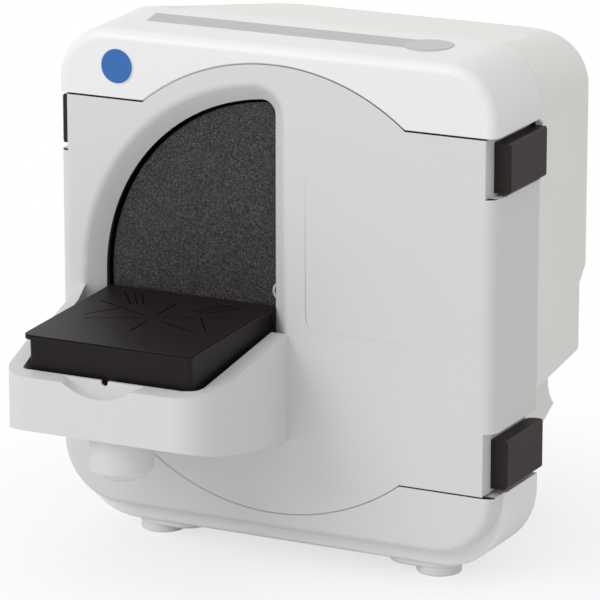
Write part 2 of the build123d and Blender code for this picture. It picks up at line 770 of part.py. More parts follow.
@part
def foot_screws():
    group = Part()
    for x, y in foot_places():
        group += rod_z(x, y, 0.6, 2.5, 4.6) + rod_z(x, y, 2, BASE_BOTTOM + 9, 2.4)
    return group


def rear_base_profile(inset):
    """The wings of the rear base from the side: flat, then rising to a lip at the back."""
    y0 = BULKHEAD_BACK
    top0 = hood_floor(y0) - inset
    top1 = hood_floor(133) - inset
    lip = (146.5 - 1.8 * inset, 64 + 0.2 * inset)
    throat = (136.5 - inset, 82)
    low = BASE_BOTTOM + inset
    curve = ThreePointArc(lip, (139.5 - inset, 72), throat)
    start = y0 - (1 if inset else 0)
    rest = Polyline(throat, (133 - inset, top1), (start, top0), (start, low), (43.5, low), lip)
    return make_face(curve + rest)


def rear_base_solid(inset):
    """The rear base: wings with a lip and a narrower pedestal that stands on the feet."""
    half = REAR_HALF - inset
    wings = extrude(side_plane(-half) * rear_base_profile(inset), amount=2 * half)
    start = BULKHEAD_BACK - (1 if inset else 0)
    narrow = PEDESTAL_HALF - inset
    pedestal = block(-narrow, narrow, start, 140.5 - inset, BASE_BOTTOM + inset, 64)
    return wings + pedestal


@part
def rear_base():
    base = rear_base_solid(0) - rear_base_solid(WALL)
    base -= rod_y(0, DRAIN_HEIGHT, 130, 150, DRAIN_RADIUS)
    base -= rod_y(0, AXIS_HEIGHT, 0, 140, 66)
    for x, y in foot_places():
        if y > 0:
            base += rod_z(x, y, BASE_BOTTOM, BASE_BOTTOM + 12, 6)
            base -= rod_z(x, y, -1, BASE_BOTTOM + 11, SCREW_RADIUS)
    return base


# Bulkhead, chamber and drain

@part
def bulkhead():
    half = HALF - 11
    low = BASE_BOTTOM + WALL + 0.5
    high = CAP_BACK_TOP - 12
    face = Pos(0, (low + high) / 2) * Rectangle(2 * half, high - low)
    face = fillet(face.vertices(), 30)
    plate = prism_y(face, JOINT, BULKHEAD_BACK)
    plate -= rod_y(0, AXIS_HEIGHT, JOINT - 1, BULKHEAD_BACK + 1, 18)
    plate -= rod_y(0, DRAIN_HEIGHT, JOINT - 1, BULKHEAD_BACK + 1, DRAIN_RADIUS)
    plate -= rod_y(*SPRAY_PLACE, JOINT - 1, BULKHEAD_BACK + 1, TUBE_RADIUS)
    plate -= rod_y(*CAPACITOR_PLACE, JOINT - 1, BULKHEAD_BACK + 1, 4.0)
    for x, z in CHAMBER_BOLTS + MOTOR_BOLTS:
        plate -= rod_y(x, z, JOINT - 1, BULKHEAD_BACK + 1, SCREW_RADIUS)
    for x, z in BRACKET_BOLTS:
        plate -= rod_y(x, z, JOINT - 1, BULKHEAD_BACK + 1, 2.1)
    return plate


@part
def spray_chamber():
    front = FRONT + DOOR_PLATE + 4
    ring = tube_y(0, AXIS_HEIGHT, front, JOINT, CHAMBER_RADIUS, CHAMBER_RADIUS - CHAMBER_WALL)
    back = tube_y(0, AXIS_HEIGHT, JOINT - 5, JOINT, CHAMBER_RADIUS, 24)
    chamber = ring + back
    collar = rod_z(0, DRAIN_Y, 44.2, 60, DRAIN_RADIUS + 3)
    collar -= rod_y(0, AXIS_HEIGHT, front, JOINT, CHAMBER_RADIUS - 1)
    chamber += collar
    chamber -= rod_z(0, DRAIN_Y, 30, 90, DRAIN_BORE)
    chamber -= rod_y(*SPRAY_PLACE, JOINT - 6, JOINT + 1, TUBE_RADIUS)
    for x, z in CHAMBER_BOLTS + MOTOR_BOLTS:
        chamber -= rod_y(x, z, JOINT - 6, JOINT + 1, SCREW_RADIUS)
    return chamber


@part
def chamber_screws():
    screws = Part()
    for x, z in CHAMBER_BOLTS:
        head = rod_y(x, z, JOINT - 8, JOINT - 5, 4.5)
        head -= rod_y(x, z, JOINT - 9, JOINT - 6.4, 2.0)
        screws += head + rod_y(x, z, JOINT - 5, BULKHEAD_BACK + 2, 2.4)
    return screws


@part
def drain_elbow():
    elbow = rod_z(0, DRAIN_Y, DRAIN_HEIGHT, 44.2, DRAIN_RADIUS)
    elbow += rod_y(0, DRAIN_HEIGHT, DRAIN_Y, DRAIN_JOIN, DRAIN_RADIUS)
    elbow += Pos(0, DRAIN_Y, DRAIN_HEIGHT) * Sphere(DRAIN_RADIUS)
    elbow -= rod_z(0, DRAIN_Y, DRAIN_HEIGHT, 50, DRAIN_BORE)
    elbow -= rod_y(0, DRAIN_HEIGHT, DRAIN_Y, DRAIN_JOIN + 1, DRAIN_BORE)
    return elbow - Pos(0, DRAIN_Y, DRAIN_HEIGHT) * Sphere(DRAIN_BORE)


@part
def drain_pipe():
    pipe = rod_y(0, DRAIN_HEIGHT, DRAIN_JOIN, 140.5, DRAIN_RADIUS)
    pipe += rod_y(0, DRAIN_HEIGHT, 140.5, 166, SPIGOT_RADIUS)
    return pipe - rod_y(0, DRAIN_HEIGHT, DRAIN_JOIN - 1, 170, DRAIN_BORE)


# Shaft, disc and motor

@part
def trimming_disc():
    start = FRONT + DOOR_PLATE + DISC_GAP
    disc = rod_y(0, AXIS_HEIGHT, start, start + DISC_THICKNESS, DISC_RADIUS)
    return disc - cone_y(0, AXIS_HEIGHT, start - 0.1, start + DISC_THICKNESS + 0.1, 6.6, 4.2)


@part
def disc_carrier():
    start = FRONT + DOOR_PLATE + DISC_GAP + DISC_THICKNESS
    plate = rod_y(0, AXIS_HEIGHT, start, start + 6, DISC_RADIUS - 4)
    hub = rod_y(0, AXIS_HEIGHT, start + 6, start + 26, 22)
    carrier = plate + hub
    for x, z in ring_points(6, 70):
        carrier -= rod_y(x, z, start - 1, start + 7, 14)
    carrier -= rod_y(0, AXIS_HEIGHT, start + 3, start + 30, SHAFT_RADIUS)
    carrier -= rod_y(0, AXIS_HEIGHT, start - 1, start + 4, 4.2)
    return carrier


@part
def disc_screw():
    start = FRONT + DOOR_PLATE + DISC_GAP
    head = cone_y(0, AXIS_HEIGHT, start - 0.6, start + DISC_THICKNESS, 6.4, 4.1)
    shank = rod_y(0, AXIS_HEIGHT, start + DISC_THICKNESS, start + 24, 4.0)
    hexagon = prism_y(Pos(0, AXIS_HEIGHT) * RegularPolygon(2.9, 6), start - 1, start + 3)
    return head + shank - hexagon


@part
def motor_shaft():
    start = FRONT + DOOR_PLATE + DISC_GAP + DISC_THICKNESS + 3
    shaft = rod_y(0, AXIS_HEIGHT, start, MOTOR_END + 18, SHAFT_RADIUS)
    return shaft - rod_y(0, AXIS_HEIGHT, start - 1, start + 18, 4.0)


@part
def shaft_seal():
    return tube_y(0, AXIS_HEIGHT, JOINT, BULKHEAD_BACK, 18, SHAFT_RADIUS + 0.4)


@part
def motor_flange():
    flange = rod_y(0, AXIS_HEIGHT, BULKHEAD_BACK, BULKHEAD_BACK + 9, 62)
    flange -= rod_y(0, AXIS_HEIGHT, BULKHEAD_BACK - 1, BULKHEAD_BACK + 10, 17.5)
    for x, z in MOTOR_BOLTS:
        flange -= rod_y(x, z, BULKHEAD_BACK - 1, BULKHEAD_BACK + 10, SCREW_RADIUS)
    return flange


@part
def motor_screws():
    screws = Part()
    for x, z in MOTOR_BOLTS:
        head = rod_y(x, z, JOINT - 8, JOINT - 5, 4.5)
        head -= rod_y(x, z, JOINT - 9, JOINT - 6.4, 2.0)
        screws += head + rod_y(x, z, JOINT - 5, BULKHEAD_BACK + 8, 2.4)
    return screws


def bearing(y0, y1, outer):
    """A closed ball bearing, with the groove of a shield in each face."""
    solid = tube_y(0, AXIS_HEIGHT, y0, y1, outer, SHAFT_RADIUS + RUNNING_GAP)
    for y in (y0, y1):
        solid -= tube_y(0, AXIS_HEIGHT, y - 0.8, y + 0.8, outer - 2.5, outer - 3.1)
        solid -= tube_y(0, AXIS_HEIGHT, y - 0.8, y + 0.8, SHAFT_RADIUS + 3.1, SHAFT_RADIUS + 2.5)
    return solid


@part
def front_bearing():
    return bearing(BULKHEAD_BACK, BULKHEAD_BACK + 9, 17.5)


@part
def rear_bearing():
    return bearing(MOTOR_END - 9, MOTOR_END, 17.5)


@part
def motor_body():
    start = BULKHEAD_BACK + 9
    body = rod_y(0, AXIS_HEIGHT, start, MOTOR_END, 58)
    for i in range(24):
        fin = block(-1.1, 1.1, start + 4, MOTOR_END - 9, 56, 62)
        body += Pos(0, 0, AXIS_HEIGHT) * Rot(0, 15 * i, 0) * fin
    body -= rod_y(0, AXIS_HEIGHT, start - 1, MOTOR_END - 10, 52)
    body -= rod_y(0, AXIS_HEIGHT, MOTOR_END - 12, MOTOR_END + 1, 17.5)
    return body


@part
def stator():
    core = tube_y(0, AXIS_HEIGHT, 30, 80, 52, 33)
    ends = tube_y(0, AXIS_HEIGHT, 21, 30, 48, 36) + tube_y(0, AXIS_HEIGHT, 80, 89, 48, 36)
    return core + ends


@part
def rotor():
    core = tube_y(0, AXIS_HEIGHT, 30, 80, 32.4, SHAFT_RADIUS)
    return core + tube_y(0, AXIS_HEIGHT, 26, 84, 30, 22)


@part
def cooling_fan():
    start = MOTOR_END + 4
    hub = tube_y(0, AXIS_HEIGHT, start, start + 13, 16, SHAFT_RADIUS)
    disc = tube_y(0, AXIS_HEIGHT, start, start + 2.5, 46, SHAFT_RADIUS)
    fan = hub + disc
    for i in range(10):
        blade = block(-1.2, 1.2, start + 2, start + 12, 15, 45)
        fan += Pos(0, 0, AXIS_HEIGHT) * Rot(0, 36 * i, 0) * blade
    return fan


@part
def fan_cowl():
    end = MOTOR_END + 21
    cowl = tube_y(0, AXIS_HEIGHT, MOTOR_END - 8, end, 64.2, 62)
    grille = rod_y(0, AXIS_HEIGHT, end - 2, end, 64)
    for radius, count in ((18, 6), (34, 12), (50, 18)):
        for x, z in ring_points(count, radius):
            grille -= rod_y(x, z, end - 3, end + 1, 5.2)
    return cowl + grille


# Side plates, hinge brackets and pins

def side_plate(span, inner):
    """One black side plate on the right, hollowed at its back for the fixed knuckle."""
    low, high = span
    y0 = FRONT + PLATE_START
    y1 = FRONT + PLATE_END
    outer = HALF + PLATE_STAND
    plate = block(inner, outer, y0, y1, low, high)
    face = plate.faces().sort_by(Axis.X)[-1]
    plate = chamfer(face.edges(), 1.4)
    z = mid(span)
    zone = (z - KNUCKLE_HALF - 0.5, z + KNUCKLE_HALF + 0.5)
    skin = outer - 1.8
    plate -= block(inner - 1, skin, HINGE_Y - KNUCKLE_RADIUS - 0.6, y1 + 1, *zone)
    corner = block(inner - 1, HINGE_X, HINGE_Y, y1 + 1, low - 1, high + 1)
    plate -= corner - rod_z(HINGE_X, HINGE_Y, low - 2, high + 2, 4.5)
    return plate - rod_z(HINGE_X, HINGE_Y, low + 2, high - 2, PIN_RADIUS + RUNNING_GAP)


@part
def hinge_plates():
    inner = HALF - NOTCH_DEPTH
    return side_plate(PLATE_LOW, inner) + side_plate(PLATE_HIGH, inner)


@part
def lower_latch():
    return mirror(side_plate(PLATE_LOW, HALF - NOTCH_DEPTH + 0.5), about=Plane.YZ)


@part
def upper_latch():
    return mirror(side_plate(PLATE_HIGH, HALF - NOTCH_DEPTH + 0.5), about=Plane.YZ)


def hinge_bracket(span):
    """A fixed bracket: a foot on the bulkhead, a web and the knuckle round the pin."""
    z = mid(span)
    foot = block(105, 136, JOINT - 4, JOINT, z - 9, z + 9)
    web = block(130, HINGE_X, HINGE_Y - 1.5, HINGE_Y + 1.5, z - KNUCKLE_HALF, z + KNUCKLE_HALF)
    knuckle = rod_z(HINGE_X, HINGE_Y, z - KNUCKLE_HALF, z + KNUCKLE_HALF, KNUCKLE_RADIUS)
    bracket = foot + web + knuckle
    for x in BRACKET_X:
        bracket -= rod_y(x, z, JOINT - 6, JOINT + 1, 2.1)
    return bracket - rod_z(HINGE_X, HINGE_Y, z - 20, z + 20, PIN_RADIUS)


@part
def hinge_brackets():
    return both_sides(hinge_bracket(PLATE_LOW) + hinge_bracket(PLATE_HIGH))


@part
def hinge_pins():
    pins = Part()
    for low, high in (PLATE_LOW, PLATE_HIGH):
        pins += rod_z(HINGE_X, HINGE_Y, low + 2.3, high - 2.3, PIN_RADIUS)
    return both_sides(pins)


@part
def bracket_screws():
    screws = Part()
    for x, z in BRACKET_BOLTS:
        screws += rod_y(x, z, JOINT - 6.2, JOINT - 4, 3.6)
        screws += rod_y(x, z, JOINT - 4, BULKHEAD_BACK + 1, 2.0)
    return screws


# Water feed

@part
def spray_pipe():
    x, z = SPRAY_PLACE
    start = FRONT + DOOR_PLATE + 4.5
    pipe = rod_y(x, z, start, 24, TUBE_RADIUS) - rod_y(x, z, start + 1, 25, TUBE_BORE)
    for i in range(3):
        hole = Pos(x, start + 2 + 4 * i, z) * Rot(0, 90 - SPRAY_ANGLE, 0) * Cylinder(0.7, 10)
        pipe -= hole & (Pos(x, 0, z - 4) * Box(20, 200, 8))
    return pipe


@part
def water_inlet():
    x, z = WATER_PLACE
    back = HOOD_BACK - 5
    body = rod_y(x, z, back, back + 3, 16) + rod_y(x, z, back + 3, INLET_END, INLET_RADIUS)
    body += rod_y(x, z, back - 12, back, 9)
    return body - rod_y(x, z, back - 13, INLET_END + 1, 6)


@part
def solenoid_valve():
    x, z = WATER_PLACE
    back = HOOD_BACK - 17
    body = block(x - 14, x + 14, back - 23, back, z - 11, z + 11)
    coil = rod_z(x, back - 12, z + 11, z + 40, 11)
    outlet = rod_x(VALVE_Y, z, x + 14, x + 22, 4.5)
    return body + coil + outlet


@part
def feed_tube():
    x, z = WATER_PLACE
    sx, sz = SPRAY_PLACE
    out = x + 38
    points = [(x + 22, VALVE_Y, z), (out, VALVE_Y, z), (out, VALVE_Y, 200)]
    points += [(out, 70, sz), (sx, 60, sz), (sx, 24, sz)]
    path = FilletPolyline(*points, radius=12)
    ring = Plane(origin=path @ 0, z_dir=path % 0) * Circle(TUBE_RADIUS)
    hole = Plane(origin=path @ 0, z_dir=path % 0) * Circle(TUBE_BORE)
    return sweep(ring, path=path) - sweep(hole, path=path)


# Electrics

@part
def run_capacitor():
    x, z = CAPACITOR_PLACE
    can = rod_y(x, z, BULKHEAD_BACK, BULKHEAD_BACK + 76, 20)
    can = fillet(can.edges().sort_by(Axis.Y)[-1], 2)
    can += rod_y(x, z, JOINT, BULKHEAD_BACK + 1, 4.0)
    for dx in (-6, 6):
        can += block(x + dx - 0.5, x + dx + 0.5, BULKHEAD_BACK + 75, BULKHEAD_BACK + 85, z - 3, z + 3)
    return can


@part
def control_board():
    y = BULKHEAD_BACK
    x0 = -128
    board = block(x0, x0 + 50, y + 6, y + 7.6, 180, 255)
    for x in (x0 + 5, x0 + 45):
        for z in (185, 250):
            board += rod_y(x, z, y, y + 6, 3)
    board += block(x0 + 8, x0 + 30, y + 7.6, y + 23, 205, 232)
    board += block(x0 + 33, x0 + 44, y + 7.6, y + 18, 210, 240)
    board += rod_y(x0 + 16, 243, y + 7.6, y + 27, 8)
    return board


@part
def mains_inlet():
    x, z = MAINS_PLACE
    back = HOOD_BACK - 5
    body = block(x - 25, x + 25, back, back + 3, z - 15, z + 15)
    body += block(x - 13.8, x + 13.8, back - 24, back, z - 9.8, z + 9.8)
    body -= block(x - 11, x + 11, back - 14, back + 4, z - 8, z + 8)
    for dx, dz in ((-7, -1), (0, -3), (7, -1)):
        body += block(x + dx - 1, x + dx + 1, back - 15, back, z + dz - 2, z + dz + 2)
    return body


for name, build in PARTS.items():
    export_step(build(), f"parts/{name}.step")
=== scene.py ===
import json
import bpy
from math import radians
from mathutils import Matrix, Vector


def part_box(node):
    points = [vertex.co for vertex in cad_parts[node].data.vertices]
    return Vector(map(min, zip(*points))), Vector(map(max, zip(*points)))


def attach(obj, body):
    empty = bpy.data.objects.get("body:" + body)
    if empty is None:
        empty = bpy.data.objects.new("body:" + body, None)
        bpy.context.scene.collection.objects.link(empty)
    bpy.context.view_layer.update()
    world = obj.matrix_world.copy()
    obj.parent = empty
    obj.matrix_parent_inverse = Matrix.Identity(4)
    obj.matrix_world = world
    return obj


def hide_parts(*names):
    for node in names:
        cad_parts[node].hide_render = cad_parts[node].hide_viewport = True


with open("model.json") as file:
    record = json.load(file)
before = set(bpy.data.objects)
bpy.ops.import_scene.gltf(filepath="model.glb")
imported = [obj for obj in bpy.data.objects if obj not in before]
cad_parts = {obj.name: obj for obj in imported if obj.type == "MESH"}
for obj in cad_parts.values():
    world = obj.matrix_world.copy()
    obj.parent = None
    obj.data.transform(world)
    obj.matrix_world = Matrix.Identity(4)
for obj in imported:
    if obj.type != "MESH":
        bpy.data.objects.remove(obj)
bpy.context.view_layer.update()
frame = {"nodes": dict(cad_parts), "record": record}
nodes = frame["nodes"]
bodies = frame["record"]["behaviour"]["bodies"]
body_of = {node: body for body, names in bodies.items() for node in names}

# Sizes in metres, angles in degrees
CAMERA_PLACE = (1.23994, -2.48245, 0.91305)
CAMERA_TARGET = (0.01968, -0.0675, 0.17659)
LAMP_TARGET = (0, 0, 0.17)
ROOM_LIGHT = 0.62
FLOOR_RADIUS = 4
FLOOR_CLEARANCE = 0.0002
SHADOW_NEAR = 0.12
SHADOW_FAR = 0.36
NEAR_WHITENESS = 0.70
MERGE_DISTANCE = 0.000002
FLAT_ANGLE = 0.4
EDGE_ANGLE = 28
SMOOTH_ANGLE = 32
# How deep, and at which heights, the painted shade on the seam walls lies
SEAM_DEPTH = 0.006
SEAM_LIP = 0.001
LOWER_SEAM_TOP = 0.09
UPPER_SEAM_LOW = 0.25
# How deep the groove faces lie that get painted shade
GROOVE_REACH = 0.0009
GROOVE_SHOULDER = 0.0002


# Colour and light

def tone(red, green, blue):
    """A colour given as it looks, 0 to 255, turned into the linear values that shaders use."""
    def linear(value):
        value = value / 255
        return value / 12.92 if value <= 0.04045 else ((value + 0.055) / 1.055) ** 2.4
    return (linear(red), linear(green), linear(blue), 1.0)


def aim(obj, target):
    """Turn a camera or lamp towards a point."""
    direction = Vector(target) - obj.location
    obj.rotation_euler = direction.to_track_quat("-Z", "Y").to_euler()


def place_camera():
    data = bpy.data.cameras.new("camera")
    data.lens = 270
    data.sensor_width = 36
    data.clip_end = 20
    camera = bpy.data.objects.new("camera", data)
    bpy.context.scene.collection.objects.link(camera)
    camera.location = CAMERA_PLACE
    aim(camera, CAMERA_TARGET)
    bpy.context.scene.camera = camera


def softbox(name, location, size, watts):
    """A large square soft lamp that points at the middle of the object."""
    data = bpy.data.lights.new(name, "AREA")
    data.shape = "RECTANGLE"
    data.size = size
    data.size_y = size
    data.energy = watts
    lamp = bpy.data.objects.new(name, data)
    bpy.context.scene.collection.objects.link(lamp)
    lamp.location = location
    aim(lamp, LAMP_TARGET)


def white_room(strength):
    """Soft light from all round, with plain white where the camera or a shiny surface sees it."""
    world = bpy.data.worlds.new("room")
    world.use_nodes = True
    bpy.context.scene.world = world
    tree = world.node_tree
    tree.nodes.clear()
    output = tree.nodes.new("ShaderNodeOutputWorld")
    mix = tree.nodes.new("ShaderNodeMixShader")
    soft = tree.nodes.new("ShaderNodeBackground")
    plain = tree.nodes.new("ShaderNodeBackground")
    rays = tree.nodes.new("ShaderNodeLightPath")
    soft.inputs["Color"].default_value = (1.0, 0.99, 0.965, 1.0)
    soft.inputs["Strength"].default_value = strength
    plain.inputs["Color"].default_value = (1.0, 1.0, 1.0, 1.0)
    direct = calculate(tree, "MAXIMUM", rays.outputs["Is Camera Ray"], rays.outputs["Is Glossy Ray"])
    tree.links.new(calculate(tree, "MAXIMUM", direct, rays.outputs["Is Transmission Ray"]), mix.inputs["Fac"])
    tree.links.new(soft.outputs["Background"], mix.inputs[1])
    tree.links.new(plain.outputs["Background"], mix.inputs[2])
    tree.links.new(mix.outputs["Shader"], output.inputs["Surface"])


def pale_floor():
    """A pale floor that keeps the shadow and fades to white away from the object."""
    bpy.ops.mesh.primitive_circle_add(vertices=96, radius=FLOOR_RADIUS, fill_type="NGON",
                                      location=(0, 0, -FLOOR_CLEARANCE))
    floor = bpy.context.object
    floor.name = "floor"
    material = bpy.data.materials.new("floor_paper")
    material.use_nodes = True
    tree = material.node_tree
    tree.nodes.clear()
    output = tree.nodes.new("ShaderNodeOutputMaterial")
    mix = tree.nodes.new("ShaderNodeMixShader")
    paper = tree.nodes.new("ShaderNodeBsdfDiffuse")
    paper.inputs["Color"].default_value = (0.93, 0.93, 0.93, 1)
    light = tree.nodes.new("ShaderNodeEmission")
    light.inputs["Color"].default_value = (1, 1, 1, 1)
    place = tree.nodes.new("ShaderNodeTexCoord")
    distance = tree.nodes.new("ShaderNodeVectorMath")
    distance.operation = "LENGTH"
    fade = tree.nodes.new("ShaderNodeMapRange")
    fade.inputs["From Min"].default_value = SHADOW_NEAR
    fade.inputs["From Max"].default_value = SHADOW_FAR
    fade.inputs["To Min"].default_value = NEAR_WHITENESS
    rays = tree.nodes.new("ShaderNodeLightPath")
    tree.links.new(place.outputs["Object"], distance.inputs[0])
    tree.links.new(distance.outputs["Value"], fade.inputs["Value"])
    seen = calculate(tree, "MULTIPLY", fade.outputs["Result"], rays.outputs["Is Camera Ray"])
    tree.links.new(seen, mix.inputs["Fac"])
    tree.links.new(paper.outputs["BSDF"], mix.inputs[1])
    tree.links.new(light.outputs["Emission"], mix.inputs[2])
    tree.links.new(mix.outputs["Shader"], output.inputs["Surface"])
    floor.data.materials.append(material)


# Node helpers

def feed(tree, value, socket):
    """Link a socket, or set a plain value."""
    if isinstance(value, bpy.types.NodeSocket):
        tree.links.new(value, socket)
    else:
        socket.default_value = value


def calculate(tree, operation, *values):
    """A Math node on sockets or numbers."""
    node = tree.nodes.new("ShaderNodeMath")
    node.operation = operation
    for value, socket in zip(values, node.inputs):
        feed(tree, value, socket)
    return node.outputs["Value"]


def noise(tree, scale, detail=2.0, stretch=(1, 1, 1)):
    """Noise over the object's own coordinates."""
    place = tree.nodes.new("ShaderNodeTexCoord")
    mapping = tree.nodes.new("ShaderNodeMapping")
    mapping.inputs["Scale"].default_value = stretch
    node = tree.nodes.new("ShaderNodeTexNoise")
    node.inputs["Detail"].default_value = detail
    tree.links.new(place.outputs["Object"], mapping.inputs["Vector"])
    tree.links.new(mapping.outputs["Vector"], node.inputs["Vector"])
    feed(tree, scale, node.inputs["Scale"])
    return node.outputs["Fac"]


def blend_colors(tree, factor, first, second):
    """A mix of two colours."""
    node = tree.nodes.new("ShaderNodeMix")
    node.data_type = "RGBA"
    feed(tree, factor, node.inputs[0])
    feed(tree, first, node.inputs[6])
    feed(tree, second, node.inputs[7])
    return node.outputs[2]


def step_up(tree, value, low, high):
    """A value mapped to 0 at low and 1 at high."""
    node = tree.nodes.new("ShaderNodeMapRange")
    feed(tree, value, node.inputs["Value"])
    node.inputs["From Min"].default_value = low
    node.inputs["From Max"].default_value = high
    return node.outputs["Result"]


def new_group(name, **inputs):
    """A node group that puts out a colour, a roughness and a height."""
    group = bpy.data.node_groups.new(name, "ShaderNodeTree")
    for title, value in inputs.items():
        kind = "NodeSocketColor" if isinstance(value, tuple) else "NodeSocketFloat"
        socket = group.interface.new_socket(title.replace("_", " "), in_out="INPUT", socket_type=kind)
        socket.default_value = value
    for title, kind in (("Color", "Color"), ("Roughness", "Float"), ("Height", "Float")):
        group.interface.new_socket(title, in_out="OUTPUT", socket_type="NodeSocket" + kind)
    return group, group.nodes.new("NodeGroupInput").outputs, group.nodes.new("NodeGroupOutput").inputs


def scaled_color(tree, color, factor):
    """A colour made lighter or darker by a factor."""
    node = tree.nodes.new("ShaderNodeVectorMath")
    node.operation = "SCALE"
    tree.links.new(color, node.inputs[0])
    tree.links.new(factor, node.inputs["Scale"])
    return node.outputs["Vector"]


def uneven_factor(tree, scale, amount):
    """A factor near 1 that drifts slowly over the surface."""
    centred = calculate(tree, "SUBTRACT", noise(tree, scale, 3.0), 0.5)
    return calculate(tree, "MULTIPLY_ADD", centred, amount, 1.0)


# Surface patterns

def moulded_grain_group():
    """The fine spark-eroded grain of moulded plastic, with a faint drift of tone and gloss."""
    group, entry, leave = new_group("moulded_grain", Color=(0.8, 0.8, 0.8, 1), Roughness=0.45,
                                    Grain_Size=0.0005, Unevenness=0.03)
    drift = uneven_factor(group, 14.0, entry["Unevenness"])
    fineness = calculate(group, "DIVIDE", 1.0, entry["Grain Size"])
    feed(group, scaled_color(group, entry["Color"], drift), leave["Color"])
    feed(group, calculate(group, "MULTIPLY", entry["Roughness"], drift), leave["Roughness"])
    feed(group, noise(group, fineness), leave["Height"])
    return group


def abrasive_grit_group():
    """Packed abrasive grains: dark and pale specks, each a small bump."""
    group, entry, leave = new_group("abrasive_grit", Dark=(0.02, 0.02, 0.02, 1), Light=(0.2, 0.2, 0.2, 1),
                                    Roughness=0.7, Grain_Size=0.0009)
    place = group.nodes.new("ShaderNodeTexCoord")
    cells = group.nodes.new("ShaderNodeTexVoronoi")
    group.links.new(place.outputs["Object"], cells.inputs["Vector"])
    feed(group, calculate(group, "DIVIDE", 1.0, entry["Grain Size"]), cells.inputs["Scale"])
    parts = group.nodes.new("ShaderNodeSeparateColor")
    group.links.new(cells.outputs["Color"], parts.inputs["Color"])
    pale = calculate(group, "POWER", parts.outputs["Red"], 2.2)
    clumps = step_up(group, noise(group, 420.0, 3.0), 0.3, 0.75)
    amount = calculate(group, "MULTIPLY", pale, calculate(group, "MULTIPLY_ADD", clumps, 0.3, 0.75))
    feed(group, blend_colors(group, amount, entry["Dark"], entry["Light"]), leave["Color"])
    feed(group, calculate(group, "MULTIPLY_ADD", parts.outputs["Green"], -0.3, entry["Roughness"]),
         leave["Roughness"])
    feed(group, calculate(group, "SUBTRACT", parts.outputs["Blue"], cells.outputs["Distance"]), leave["Height"])
    return group


def machined_group():
    """Fine tool marks round the shaft's line, and a faint stain."""
    group, entry, leave = new_group("machined_metal", Color=(0.6, 0.6, 0.6, 1), Roughness=0.3,
                                    Mark_Size=0.0004, Unevenness=0.12)
    place = group.nodes.new("ShaderNodeTexCoord")
    centre = group.nodes.new("ShaderNodeMapping")
    centre.inputs["Location"].default_value = (0, 0, -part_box("trimming_disc")[0][2] - disc_radius)
    rings = group.nodes.new("ShaderNodeTexWave")
    rings.wave_type = "RINGS"
    rings.rings_direction = "Y"
    rings.inputs["Distortion"].default_value = 1.5
    rings.inputs["Detail"].default_value = 2.0
    group.links.new(place.outputs["Object"], centre.inputs["Vector"])
    group.links.new(centre.outputs["Vector"], rings.inputs["Vector"])
    feed(group, calculate(group, "DIVIDE", 0.3, entry["Mark Size"]), rings.inputs["Scale"])
    drift = uneven_factor(group, 40.0, entry["Unevenness"])
    feed(group, scaled_color(group, entry["Color"], drift), leave["Color"])
    marks = calculate(group, "MULTIPLY_ADD", rings.outputs["Fac"], 0.12, entry["Roughness"])
    feed(group, marks, leave["Roughness"])
    feed(group, rings.outputs["Fac"], leave["Height"])
    return group


def layered_group():
    """Thin sheets stacked along the shaft, as in a laminated core."""
    group, entry, leave = new_group("laminations", Color=(0.2, 0.2, 0.2, 1), Edge_Color=(0.05, 0.04, 0.03, 1),
                                    Roughness=0.5, Sheet=0.0008)
    place = group.nodes.new("ShaderNodeTexCoord")
    bands = group.nodes.new("ShaderNodeTexWave")
    bands.bands_direction = "Y"
    group.links.new(place.outputs["Object"], bands.inputs["Vector"])
    feed(group, calculate(group, "DIVIDE", 0.3, entry["Sheet"]), bands.inputs["Scale"])
    feed(group, blend_colors(group, bands.outputs["Fac"], entry["Edge Color"], entry["Color"]), leave["Color"])
    feed(group, entry["Roughness"], leave["Roughness"])
    feed(group, bands.outputs["Fac"], leave["Height"])
    return group


def circuit_group():
    """Lacquered board with pale tracks under the lacquer."""
    group, entry, leave = new_group("circuit", Color=(0.02, 0.2, 0.08, 1), Track=(0.06, 0.32, 0.14, 1),
                                    Roughness=0.3, Pitch=0.004)
    place = group.nodes.new("ShaderNodeTexCoord")
    cells = group.nodes.new("ShaderNodeTexVoronoi")
    cells.distance = "MANHATTAN"
    group.links.new(place.outputs["Object"], cells.inputs["Vector"])
    feed(group, calculate(group, "DIVIDE", 1.0, entry["Pitch"]), cells.inputs["Scale"])
    track = step_up(group, cells.outputs["Distance"], 0.55, 0.6)
    feed(group, blend_colors(group, track, entry["Color"], entry["Track"]), leave["Color"])
    feed(group, entry["Roughness"], leave["Roughness"])
    feed(group, track, leave["Height"])
    return group


disc_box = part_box("trimming_disc")
disc_radius = (disc_box[1][0] - disc_box[0][0]) / 2
moulded_grain = moulded_grain_group()
abrasive_grit = abrasive_grit_group()
machined_metal = machined_group()
laminations = layered_group()
circuit = circuit_group()


# Materials

def finish(name, group, depth, strength=0.35, metallic=0.0, coat=0.0, coat_roughness=0.25, specular=0.5,
           **values):
    """A material whose colour, roughness and bump come from a shared pattern."""
    material = bpy.data.materials.new(name)
    material.use_nodes = True
    tree = material.node_tree
    shader = tree.nodes["Principled BSDF"]
    pattern = tree.nodes.new("ShaderNodeGroup")
    pattern.node_tree = group
    for title, value in values.items():
        pattern.inputs[title.replace("_", " ")].default_value = value
    bump = tree.nodes.new("ShaderNodeBump")
    bump.inputs["Strength"].default_value = strength
    bump.inputs["Distance"].default_value = depth
    tree.links.new(pattern.outputs["Color"], shader.inputs["Base Color"])
    tree.links.new(pattern.outputs["Roughness"], shader.inputs["Roughness"])
    tree.links.new(pattern.outputs["Height"], bump.inputs["Height"])
    tree.links.new(bump.outputs["Normal"], shader.inputs["Normal"])
    shader.inputs["Metallic"].default_value = metallic
    shader.inputs["Coat Weight"].default_value = coat
    shader.inputs["Coat Roughness"].default_value = coat_roughness
    shader.inputs["Specular IOR Level"].default_value = specular
    return material


